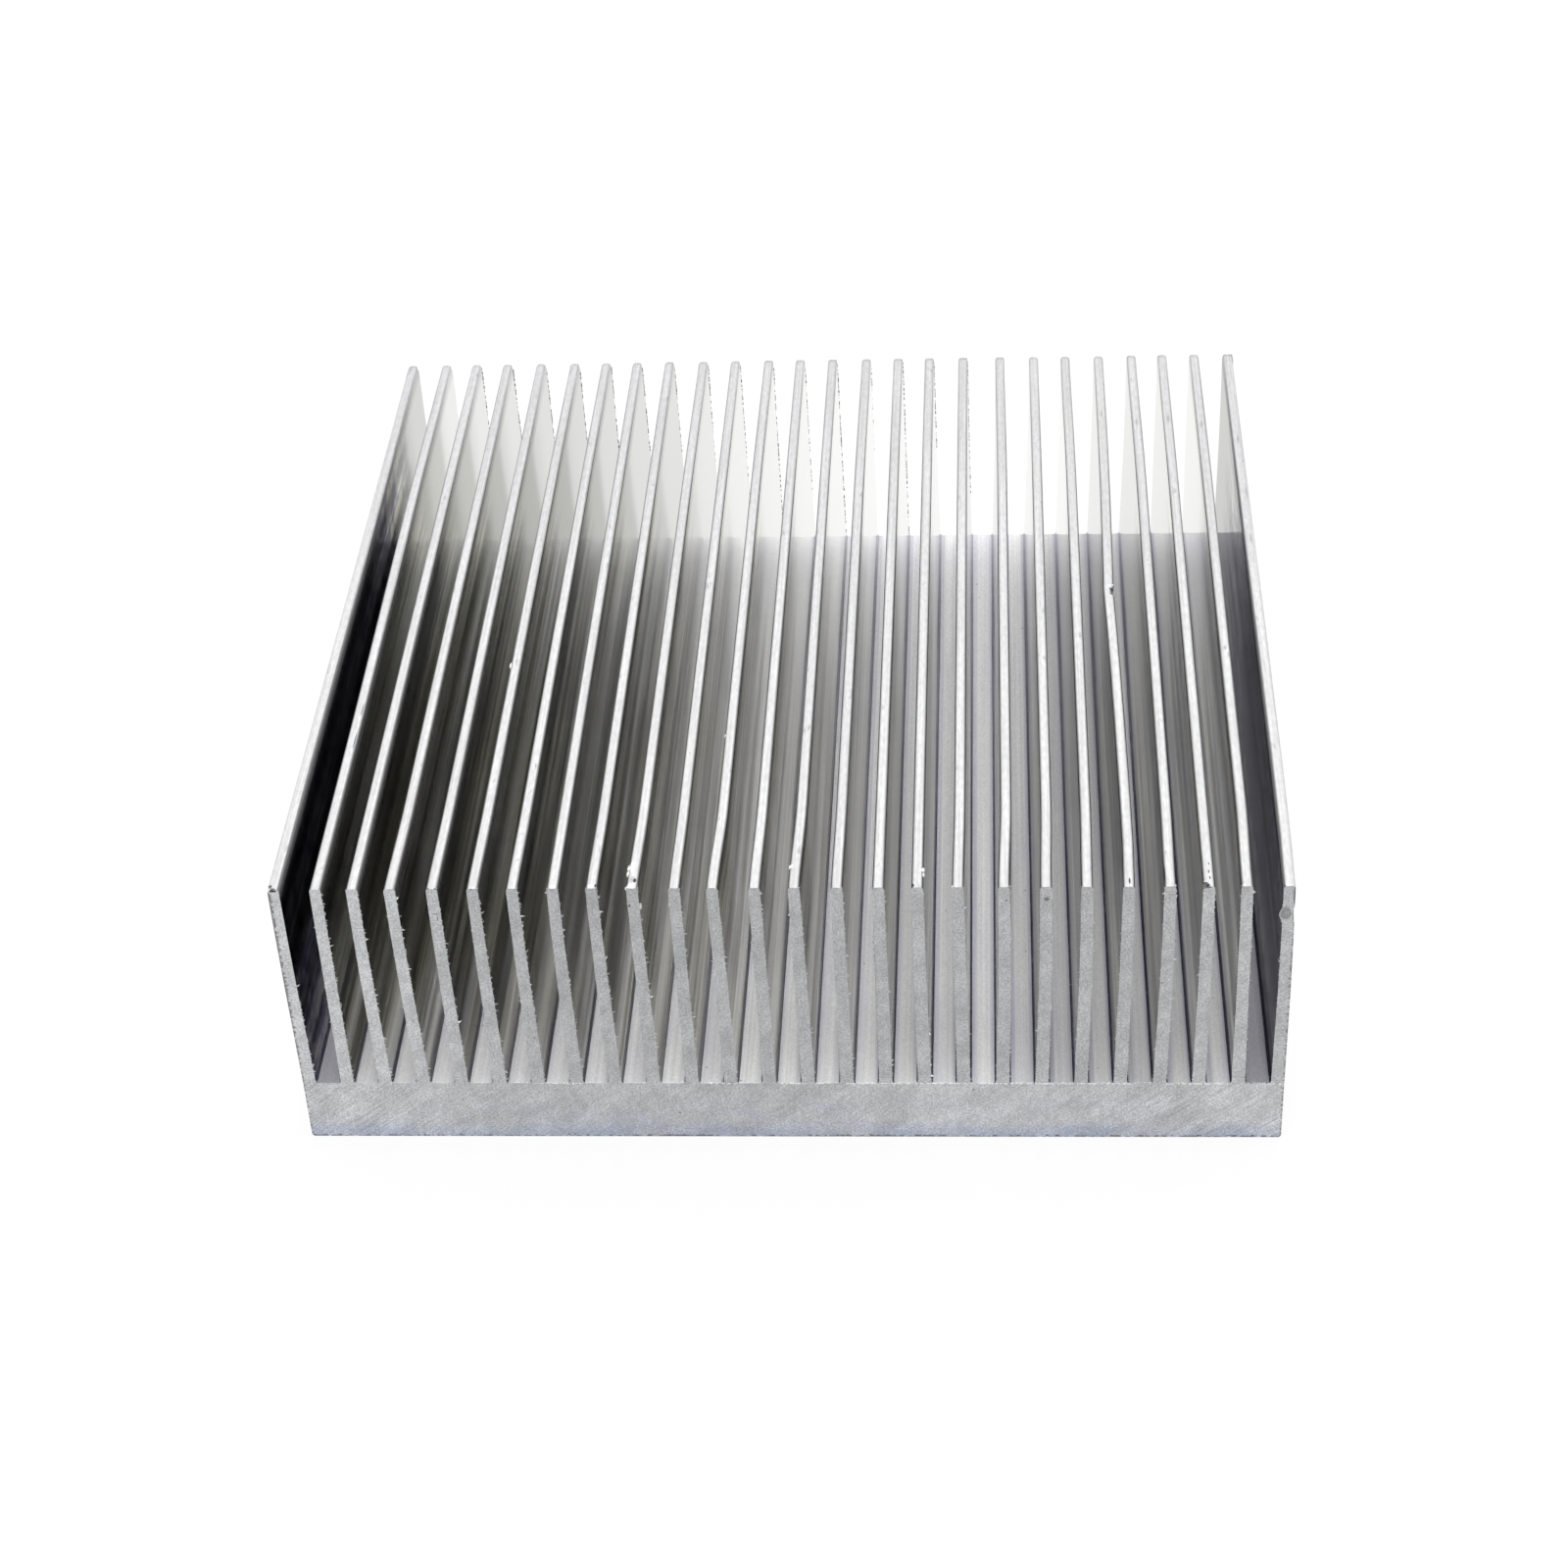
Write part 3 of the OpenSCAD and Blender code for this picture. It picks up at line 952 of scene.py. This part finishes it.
def cut_knocked_fin(work):
    """Cuts the knocked fin at a few heights, so that its front edge can be pushed in."""
    everything = work.verts[:] + work.edges[:] + work.faces[:]
    bmesh.ops.bisect_plane(
        work, geom=everything, dist=1e-7, plane_co=(0, 0, BASE_T + ROOT_R), plane_no=(0, 0, 1)
    )
    everything = work.verts[:] + work.edges[:] + work.faces[:]
    bmesh.ops.bisect_plane(
        work, geom=everything, dist=1e-7, plane_co=(0, 0, TOP - 1.4 * MM), plane_no=(0, 0, 1)
    )
    fin_x = FIRST_FIN_X + (KNOCK[0] - 1) * PITCH
    for step in range(-4, 5):
        faces = [f for f in work.faces if abs(f.calc_center_median().x - fin_x) < PITCH * 0.4
                 and f.calc_center_median().z > BASE_T + ROOT_R]
        edges = list(dict.fromkeys(edge for face in faces for edge in face.edges))
        verts = list(dict.fromkeys(vertex for face in faces for vertex in face.verts))
        bmesh.ops.bisect_plane(
            work,
            geom=verts + edges + faces,
            dist=1e-7,
            plane_co=(0, 0, (KNOCK[1] + step * KNOCK[2] / 4) * MM),
            plane_no=(0, 0, 1),
        )


def make_heat_sink():
    """The whole piece: cut across, painted by zone, bent and worn."""
    work = clean_copy("heat_sink")
    cut_along(work, stations())
    cut_knocked_fin(work)
    for face in work.faces:
        face.material_index = zone_of(face)
        face.smooth = True
    for edge in work.edges:
        turn = edge.calc_face_angle(math.pi)
        both_round = all(is_round(face) for face in edge.link_faces)
        edge.smooth = turn < math.radians(8) or (both_round and turn < math.radians(40))
    bend_fins(work)
    mesh = bpy.data.meshes.new("heat_sink_body")
    work.to_mesh(mesh)
    work.free()
    body = bpy.data.objects.new("heat_sink_body", mesh)
    bpy.context.scene.collection.objects.link(body)
    for name in ZONES:
        mesh.materials.append(FINISHES[name]())
    return body


# ---- Burrs that the saw left ----
BRIGHT_KIND = 2  # the first kind of burr with the bright finish, counted from 0


def burr(name, colour):
    """Torn metal: a grainy grey, less of a mirror than the cut faces."""
    material, tree, shader = metal(name, colour, 0.35)
    shader.inputs["Metallic"].default_value = 0.5
    place, (x, y, z) = place_on_piece(tree)
    grain = mottle(tree, place, (0.2, 0.2, 0.2), 2)
    feed(tree, shader.inputs["Base Color"], times(tree, colour, tone(tree, grain, 0.85, 1.1)))
    return material


def flake_tree():
    """Geometry Nodes that strew few-faced flakes along guide lines."""
    tree = bpy.data.node_groups.new("saw_burrs", "GeometryNodeTree")
    inputs = {
        "Guide": "Geometry", "Spacing": "Float", "Scatter": "Vector", "Smallest": "Vector",
        "Largest": "Vector", "Least Turn": "Vector", "Most Turn": "Vector", "Share": "Float",
        "Seed": "Int", "Finish": "Material",
    }
    for name, kind in inputs.items():
        tree.interface.new_socket(name, in_out="INPUT", socket_type="NodeSocket" + kind)
    tree.interface.new_socket("Burrs", in_out="OUTPUT", socket_type="NodeSocketGeometry")
    given = tree.nodes.new("NodeGroupInput").outputs
    result = tree.nodes.new("NodeGroupOutput")

    def node(kind, **links):
        made = tree.nodes.new(kind)
        for name, source in links.items():
            tree.links.new(source, made.inputs[name.replace("_", " ")])
        return made

    def random_vector(low, high, seed):
        made = tree.nodes.new("FunctionNodeRandomValue")
        made.data_type = "FLOAT_VECTOR"
        feed(tree, made.inputs[0], low)
        feed(tree, made.inputs[1], high)
        tree.links.new(maths(tree, "ADD", given["Seed"], seed), made.inputs["Seed"])
        return made.outputs[0]

    lines = node("GeometryNodeMeshToCurve", Mesh=given["Guide"])
    points = node("GeometryNodeResampleCurve", Curve=lines.outputs[0])
    points.mode = "LENGTH"
    tree.links.new(given["Spacing"], points.inputs["Length"])
    back = tree.nodes.new("ShaderNodeVectorMath")
    back.operation = "SCALE"
    back.inputs["Scale"].default_value = -1
    tree.links.new(given["Scatter"], back.inputs[0])
    scatter = random_vector(back.outputs[0], given["Scatter"], 1)
    moved = node("GeometryNodeSetPosition", Geometry=points.outputs[0], Offset=scatter)
    flake = tree.nodes.new("GeometryNodeMeshCone")
    for name, value in (("Vertices", 5), ("Radius Bottom", 1), ("Radius Top", 0), ("Depth", 1.6)):
        flake.inputs[name].default_value = value
    chosen = tree.nodes.new("FunctionNodeRandomValue")
    chosen.data_type = "BOOLEAN"
    tree.links.new(given["Share"], chosen.inputs["Probability"])
    tree.links.new(maths(tree, "ADD", given["Seed"], 2), chosen.inputs["Seed"])
    put = node(
        "GeometryNodeInstanceOnPoints",
        Points=moved.outputs[0],
        Instance=flake.outputs[0],
        Selection=chosen.outputs[3],
        Rotation=random_vector(given["Least Turn"], given["Most Turn"], 3),
        Scale=random_vector(given["Smallest"], given["Largest"], 4),
    )
    real = node("GeometryNodeRealizeInstances", Geometry=put.outputs[0])
    painted = node("GeometryNodeSetMaterial", Geometry=real.outputs[0], Material=given["Finish"])
    tree.links.new(painted.outputs[0], result.inputs[0])
    return tree


def strew(tree, edges, shift, finish, **given):
    """Burrs along edges of the piece as a mesh, moved by a shift from them."""
    corners = list(dict.fromkeys(vertex for edge in edges for vertex in edge.verts))
    number = {vertex: i for i, vertex in enumerate(corners)}
    lines = bpy.data.meshes.new("burr_lines")
    lines.from_pydata(
        [vertex.co + shift for vertex in corners],
        [[number[v] for v in edge.verts] for edge in edges],
        [],
    )
    guide = bpy.data.objects.new("burr_lines", lines)
    bpy.context.scene.collection.objects.link(guide)
    modifier = guide.modifiers.new("burrs", "NODES")
    modifier.node_group = tree
    given["Finish"] = finish
    for socket in tree.interface.items_tree:
        if socket.in_out == "INPUT" and socket.name in given:
            modifier[socket.identifier] = given[socket.name]
    flakes = bpy.data.meshes.new_from_object(
        guide.evaluated_get(bpy.context.evaluated_depsgraph_get())
    )
    bpy.data.objects.remove(guide)
    return flakes


def make_lumps():
    """The single lumps of torn metal, as one mesh of rough balls with the bright burrs' finish."""
    lumps = bmesh.new()
    chance = random.Random(7)
    for fin, behind, z, shift, *size in LUMPS:
        middle = Vector((fin_middle(fin, behind, z) + shift * MM, FRONT + behind * MM, z * MM))
        for vertex in bmesh.ops.create_icosphere(lumps, subdivisions=2, radius=1)["verts"]:
            swell = chance.uniform(0.8, 1.15)
            vertex.co = middle + Vector(a * b * swell * MM for a, b in zip(vertex.co, size))
    for face in lumps.faces:
        face.material_index = BRIGHT_KIND
        face.smooth = True
    mesh = bpy.data.meshes.new("burr_lumps")
    lumps.to_mesh(mesh)
    return mesh


def make_burrs(body):
    """Burrs on the edges of the sawn ends, kept inside the piece's own box."""
    work = bmesh.new()
    work.from_mesh(body.data)
    sides, floors, backs = [], [], []
    for edge in work.edges:
        if len(edge.link_faces) != 2:
            continue
        end, other = sorted(edge.link_faces, key=lambda face: face.material_index)
        if end.material_index != ZONES.index("sawn_end"):
            continue
        x, y, z = (edge.verts[0].co + edge.verts[1].co) / 2
        fin = round((x - FIRST_FIN_X) / PITCH) + 1
        zone = ZONES[other.material_index]
        upright = zone == "fin_side" and abs(other.normal.x) > 0.9
        if upright and z > BASE_T + 1 * MM and 2 * MM < HIGH.x - abs(x):
            if y < 0:
                sides.append(edge)
            elif other.normal.x > 0 and 2 < fin < 19 and z > BASE_T + 12 * MM:
                backs.append(edge)
        elif zone == "channel_floor" and y < 0:
            floors.append(edge)
    tree = flake_tree()
    torn, dark = burr("burr", BURR_COLOUR), burr("dark_burr", DARK_BURR_COLOUR)
    bright = burr("bright_burr", BRIGHT_BURR_COLOUR)
    right_side = [edge for edge in sides if edge.verts[0].co.x > fin_middle_near(edge)]
    left_side = [edge for edge in sides if edge not in set(right_side)]
    near = [edge for edge in floors if edge.verts[0].co.x > -37 * MM]
    far = [edge for edge in floors if edge not in set(near)]
    turn = 6.28
    any_way = (0, 0, 0), (turn, turn, turn)
    standing = (0, 0, 0), (0, 0, turn)
    forward = (0.2, -0.2, 0), (0.5, 0.2, 3)
    # Edges, place behind them, finish, spacing, scatter, smallest and largest half sizes, turns,
    # share and seed, in mm
    kinds = (
        (
            right_side, 0.16, torn, 0.7, (0.03, 0, 0.4), (0.1, 0.08, 0.15), (0.24, 0.14, 0.42),
            any_way, 0.8, 1,
        ),
        (
            left_side, 0.16, torn, 1.1, (0.03, 0, 0.6), (0.08, 0.08, 0.12), (0.18, 0.12, 0.32),
            any_way, 0.6, 2,
        ),
        (
            near, 0.12, bright, 0.34, (0.06, 0.02, 0.03), (0.12, 0.1, 0.03), (0.2, 0.14, 0.05),
            forward, 0.75, 3,
        ),
        (
            far, 0.12, bright, 0.5, (0.2, 0.02, 0.03), (0.08, 0.08, 0.03), (0.15, 0.12, 0.04),
            forward, 0.35, 4,
        ),
        (
            backs, -0.12, dark, 0.42, (0.03, 0, 0.3), (0.04, 0.05, 0.2), (0.11, 0.1, 0.5), standing,
            0.75, 5,
        ),
    )
    flakes = bmesh.new()
    for number, kind in enumerate(kinds):
        edges, behind, finish, spacing, scatter, smallest, largest, turns, share, seed = kind
        mesh = strew(
            tree,
            edges,
            Vector((0, behind * MM, 0)),
            finish,
            Spacing=spacing * MM,
            Scatter=[v * MM for v in scatter],
            Smallest=[v * MM for v in smallest],
            Largest=[v * MM for v in largest],
            **{"Least Turn": turns[0], "Most Turn": turns[1]},
            Share=share,
            Seed=seed,
        )
        for face in mesh.polygons:
            face.material_index = number
        flakes.from_mesh(mesh)
    flakes.from_mesh(make_lumps())
    for vertex in flakes.verts:
        vertex.co.y = min(max(vertex.co.y, FRONT + 0.004 * MM), BACK - 0.004 * MM)
        vertex.co.z = min(vertex.co.z, TOP - 0.01 * MM)
    mesh = bpy.data.meshes.new("saw_burrs")
    flakes.to_mesh(mesh)
    for kind in kinds:
        mesh.materials.append(kind[2])
    burrs = bpy.data.objects.new("saw_burrs", mesh)
    bpy.context.scene.collection.objects.link(burrs)
    return burrs


def fin_middle_near(edge):
    """X of the middle of the fin that a front edge belongs to, at its height."""
    x, y, z = edge.verts[0].co
    fin = round((x - FIRST_FIN_X) / PITCH) + 1
    return fin_middle(fin, (y - FRONT) / MM, z / MM)


# ---- Stage, light and camera ----
def seen_directly(tree):
    """1 for a ray that comes from the camera, a mirror-like surface or clear glass, else 0."""
    path = tree.nodes.new("ShaderNodeLightPath")
    total = maths(tree, "MAXIMUM", path.outputs["Is Camera Ray"], path.outputs["Is Glossy Ray"])
    return maths(tree, "MAXIMUM", total, path.outputs["Is Transmission Ray"])


def make_floor():
    """A pale floor that stands out white and still takes the object's shadow."""
    bpy.ops.mesh.primitive_plane_add(size=FLOOR_SIZE, location=(0, 0, 0))
    floor = bpy.context.object
    floor.name = "floor"
    material, tree, shader = new_material("pale_floor")
    shader.inputs["Base Color"].default_value = (0.9, 0.9, 0.9, 1)
    shader.inputs["Roughness"].default_value = 0.9
    glow = tree.nodes.new("ShaderNodeEmission")
    glow.inputs["Strength"].default_value = FLOOR_GLOW
    mix = tree.nodes.new("ShaderNodeMixShader")
    tree.links.new(
        maths(tree, "MULTIPLY", seen_directly(tree), FLOOR_GLOW_SHARE), mix.inputs["Fac"]
    )
    tree.links.new(shader.outputs[0], mix.inputs[1])
    tree.links.new(glow.outputs[0], mix.inputs[2])
    tree.links.new(mix.outputs[0], tree.nodes["Material Output"].inputs["Surface"])
    floor.data.materials.append(material)


def make_world():
    """A soft white studio dome: dimmer in front, white at the back, with a strip light above."""
    world = bpy.data.worlds.new("studio")
    bpy.context.scene.world = world
    world.use_nodes = True
    tree = world.node_tree
    direction = tree.nodes.new("ShaderNodeTexCoord")
    split = tree.nodes.new("ShaderNodeSeparateXYZ")
    tree.links.new(direction.outputs["Generated"], split.inputs[0])
    x, y, z = split.outputs
    dome = ramp(tree, y, DOME_FRONT_Y, DOME_BACK_Y, DOME_FRONT, DOME_BACK)
    strip = ramp(tree, z, STRIP_LOW_Z, STRIP_HIGH_Z, 0, STRIP)
    for value, full, edge in (
        (maths(tree, "ABSOLUTE", maths(tree, "SUBTRACT", x, STRIP_X)), STRIP_FULL_X, STRIP_EDGE_X),
        (y, STRIP_FULL_Y, STRIP_EDGE_Y),
    ):
        strip = maths(tree, "MULTIPLY", strip, ramp(tree, value, full, edge, 1, 0))
    background = tree.nodes["Background"]
    background.inputs["Color"].default_value = (1, 1, 1, 1)
    feed(tree, background.inputs["Strength"], maths(tree, "ADD", dome, strip))


def make_camera():
    """The camera, in front of the piece and above it."""
    data = bpy.data.cameras.new("camera")
    data.lens = CAMERA_LENS
    data.sensor_width = CAMERA_SENSOR
    data.shift_y = CAMERA_SHIFT_Y
    data.clip_start = 0.01
    camera = bpy.data.objects.new("camera", data)
    camera.matrix_world = (
        Matrix.Translation(Vector(CAMERA_PLACE) * MM)
        @ Matrix.Rotation(math.radians(CAMERA_YAW), 4, "Z")
        @ Matrix.Rotation(math.pi / 2 - math.radians(CAMERA_PITCH), 4, "X")
        @ Matrix.Rotation(math.radians(CAMERA_ROLL), 4, "Z")
    )
    bpy.context.scene.collection.objects.link(camera)
    bpy.context.scene.camera = camera


make_camera()
make_floor()
make_world()
body = make_heat_sink()
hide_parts("heat_sink")
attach(body, "root")
burrs = make_burrs(body)
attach(burrs, "root")

bpy.context.scene.view_settings.view_transform = "Standard"
